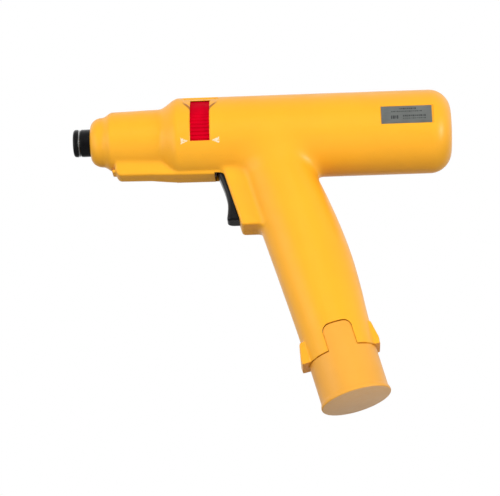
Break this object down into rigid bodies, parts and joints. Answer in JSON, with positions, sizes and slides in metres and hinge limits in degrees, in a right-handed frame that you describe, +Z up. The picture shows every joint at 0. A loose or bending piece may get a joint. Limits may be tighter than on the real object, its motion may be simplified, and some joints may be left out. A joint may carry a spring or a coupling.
{
  "type": "cordless rotary hand tool",
  "caption": "Pistol-grip cordless rotary hand tool: round barrel with nose socket and ring window, trigger, tilted tubular grip with a pull-off battery cap.",
  "frame": {"origin": "centre of the flat rear face of the barrel, on the spindle axis", "axes": "+X out of the barrel's rear face, so the nose points to -X; +Z up; +Y to the tool's right; the grip hangs towards -Z"},
  "size_m": [0.1887, 0.042, 0.1653],
  "materials": {
    "yellow_shell": "satin moulded",
    "red_ring": "satin moulded",
    "red_button": "satin",
    "black_plastic": "satin moulded",
    "white_plastic": "natural acetal",
    "foil": "brushed foil",
    "black_steel": "black oxide",
    "steel": "ground",
    "zinc": "zinc plated",
    "brass": "bright",
    "bronze": "sintered",
    "copper": "enamelled",
    "ferrite": "matt",
    "carbon": "matt",
    "cell_jacket": "printed film sleeve on a metal can",
    "red_wire": "insulation",
    "black_wire": "insulation"
  },
  "bodies": {
    "housing": {"left_housing": "yellow_shell", "right_housing": "yellow_shell", "housing_screw_1": "zinc", "housing_screw_2": "zinc", "housing_screw_3": "zinc", "housing_screw_4": "zinc", "housing_screw_5": "zinc", "housing_screw_6": "zinc", "housing_screw_7": "zinc", "housing_screw_8": "zinc", "label_plate": "foil", "trigger_pivot_pin": "steel", "trigger_return_spring": "steel", "switch_body": "black_plastic", "switch_terminal_1": "brass", "switch_terminal_2": "brass", "motor_can": "zinc", "motor_mount_plate": "steel", "motor_mount_screw_1": "zinc", "motor_mount_screw_2": "zinc", "motor_magnet_upper": "ferrite", "motor_magnet_lower": "ferrite", "motor_end_bell": "white_plastic", "motor_brush_1": "carbon", "motor_brush_2": "carbon", "ring_gear": "white_plastic", "gearbox_cover": "white_plastic", "gearbox_bush": "bronze", "nose_bush": "bronze", "rear_sleeve_bush": "bronze", "contact_holder": "black_plastic", "upper_contact": "brass", "ground_strip": "brass", "red_motor_lead": "red_wire", "black_motor_lead": "black_wire", "battery_lead": "red_wire"},
    "trigger": {"trigger": "black_plastic"},
    "switch_button": {"switch_button": "red_button"},
    "rotor": {"motor_shaft": "steel", "armature_core": "steel", "armature_windings": "copper", "commutator": "copper", "sun_pinion": "brass"},
    "carrier": {"planet_carrier": "zinc", "output_spindle": "steel", "spindle_retaining_ring": "steel"},
    "planet_1": {"planet_gear_1": "white_plastic"},
    "planet_2": {"planet_gear_2": "white_plastic"},
    "planet_3": {"planet_gear_3": "white_plastic"},
    "sleeve": {"sleeve_holder": "black_steel", "index_ring": "red_ring", "collar_retaining_ring": "steel", "locking_ball": "steel", "collar_spring": "steel"},
    "release_collar": {"release_collar": "black_steel"},
    "battery_cap": {"battery_cap": "yellow_shell", "cap_contact_plate": "brass", "cap_contact_spring": "steel"},
    "battery_lower": {"battery_lower": "cell_jacket"},
    "battery_upper": {"battery_upper": "cell_jacket"}
  },
  "joints": [
    {"name": "trigger_pull", "type": "hinge", "parent": "housing", "child": "trigger", "pos_m": [-0.113, 0, -0.015], "axis": [0, -1, 0], "range_deg": [0, 8], "stiffness_Nm_per_rad": 0.4, "springref_deg": -8.59, "deforming": ["trigger_return_spring"]},
    {"name": "switch_plunger", "type": "slide", "parent": "housing", "child": "switch_button", "axis": [1, 0, 0], "range_m": [0, 0.003]},
    {"name": "spindle_turn", "type": "hinge", "parent": "housing", "child": "carrier", "pos_m": [0, 0, 0], "axis": [-1, 0, 0], "continuous": true},
    {"name": "rotor_turn", "type": "hinge", "parent": "housing", "child": "rotor", "pos_m": [0, 0, 0], "axis": [-1, 0, 0], "continuous": true},
    {"name": "planet_1_turn", "type": "hinge", "parent": "carrier", "child": "planet_1", "pos_m": [-0.0578, 0, 0.009], "axis": [-1, 0, 0], "continuous": true},
    {"name": "planet_2_turn", "type": "hinge", "parent": "carrier", "child": "planet_2", "pos_m": [-0.0578, 0.00779, -0.0045], "axis": [-1, 0, 0], "continuous": true},
    {"name": "planet_3_turn", "type": "hinge", "parent": "carrier", "child": "planet_3", "pos_m": [-0.0578, -0.00779, -0.0045], "axis": [-1, 0, 0], "continuous": true},
    {"name": "index_ring_turn", "type": "hinge", "parent": "housing", "child": "sleeve", "pos_m": [0, 0, 0], "axis": [-1, 0, 0], "continuous": true},
    {"name": "collar_release", "type": "slide", "parent": "sleeve", "child": "release_collar", "axis": [1, 0, 0], "range_m": [0, 0.003], "stiffness_N_per_m": 600, "springref_m": -0.004, "deforming": ["collar_spring"]},
    {"name": "battery_lower_slide", "type": "slide", "parent": "housing", "child": "battery_lower", "axis": [0.2549, 0, -0.967], "range_m": [0, 0.105]},
    {"name": "battery_upper_slide", "type": "slide", "parent": "housing", "child": "battery_upper", "axis": [0.2549, 0, -0.967], "range_m": [0, 0.0901]},
    {"name": "cap_slide", "type": "slide", "parent": "housing", "child": "battery_cap", "axis": [0.2549, 0, -0.967], "range_m": [0, 0.1261], "deforming": ["cap_contact_spring"]}
  ],
  "couplings": [
    {"joint": "switch_plunger", "follows": "trigger_pull", "m_per_rad": 0.0213},
    {"joint": "rotor_turn", "follows": "spindle_turn", "ratio": 5},
    {"joint": "planet_1_turn", "follows": "spindle_turn", "ratio": -2.6667},
    {"joint": "planet_2_turn", "follows": "spindle_turn", "ratio": -2.6667},
    {"joint": "planet_3_turn", "follows": "spindle_turn", "ratio": -2.6667},
    {"joint": "battery_upper_slide", "follows": "battery_lower_slide", "ratio": 0.85714},
    {"joint": "cap_slide", "follows": "battery_lower_slide", "ratio": 1.2}
  ]
}
